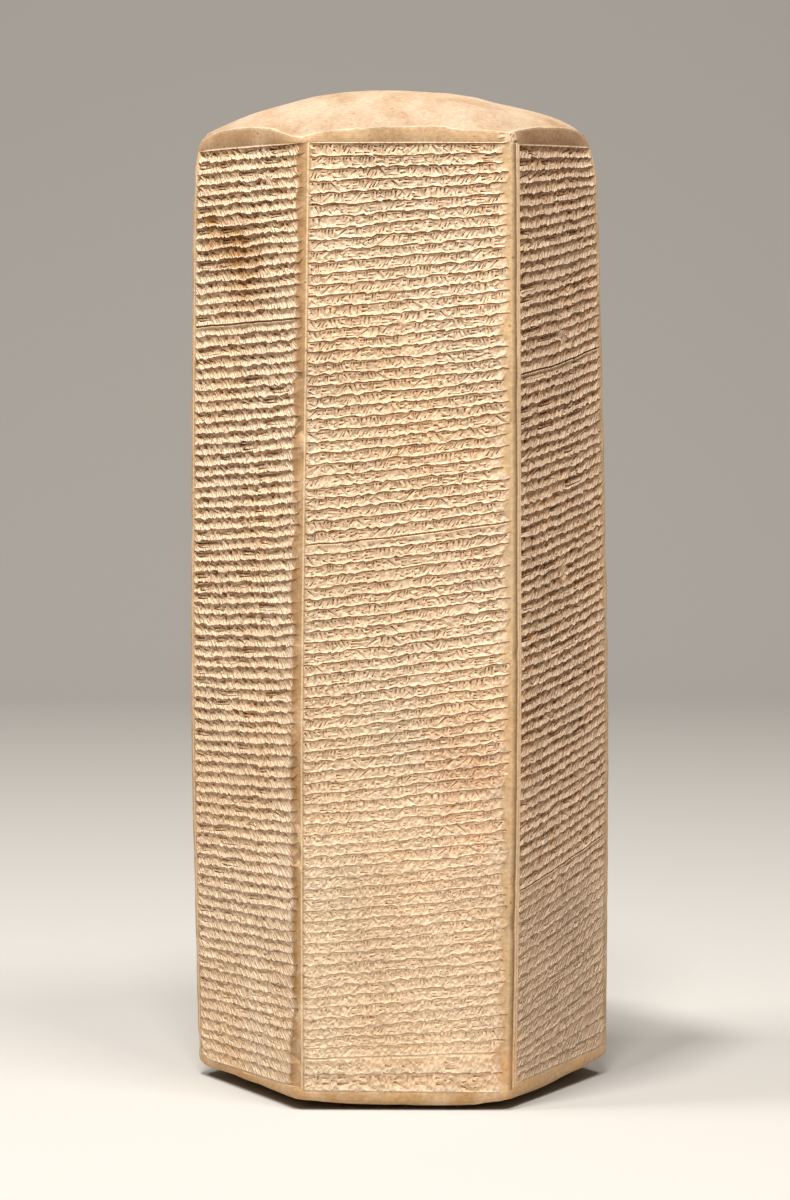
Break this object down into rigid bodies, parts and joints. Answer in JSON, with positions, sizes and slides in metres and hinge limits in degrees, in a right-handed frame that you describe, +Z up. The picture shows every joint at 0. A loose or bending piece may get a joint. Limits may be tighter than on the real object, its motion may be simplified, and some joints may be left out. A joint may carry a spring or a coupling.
{
  "type": "inscribed clay prism",
  "caption": "Tall six-sided clay block standing on end, with domed ends and rows of shallow wedge marks sunk into its upright sides.",
  "frame": {"origin": "on the surface it stands on, under the middle of the block's box", "axes": "+Z up the block from its foot to its crown; -Y out of the side seen full face"},
  "size_m": [0.161, 0.1422, 0.38],
  "materials": {
    "clay": "matt fired clay, buff with ochre arrises and stains"
  },
  "bodies": {
    "root": {"prism": "clay"}
  },
  "joints": []
}
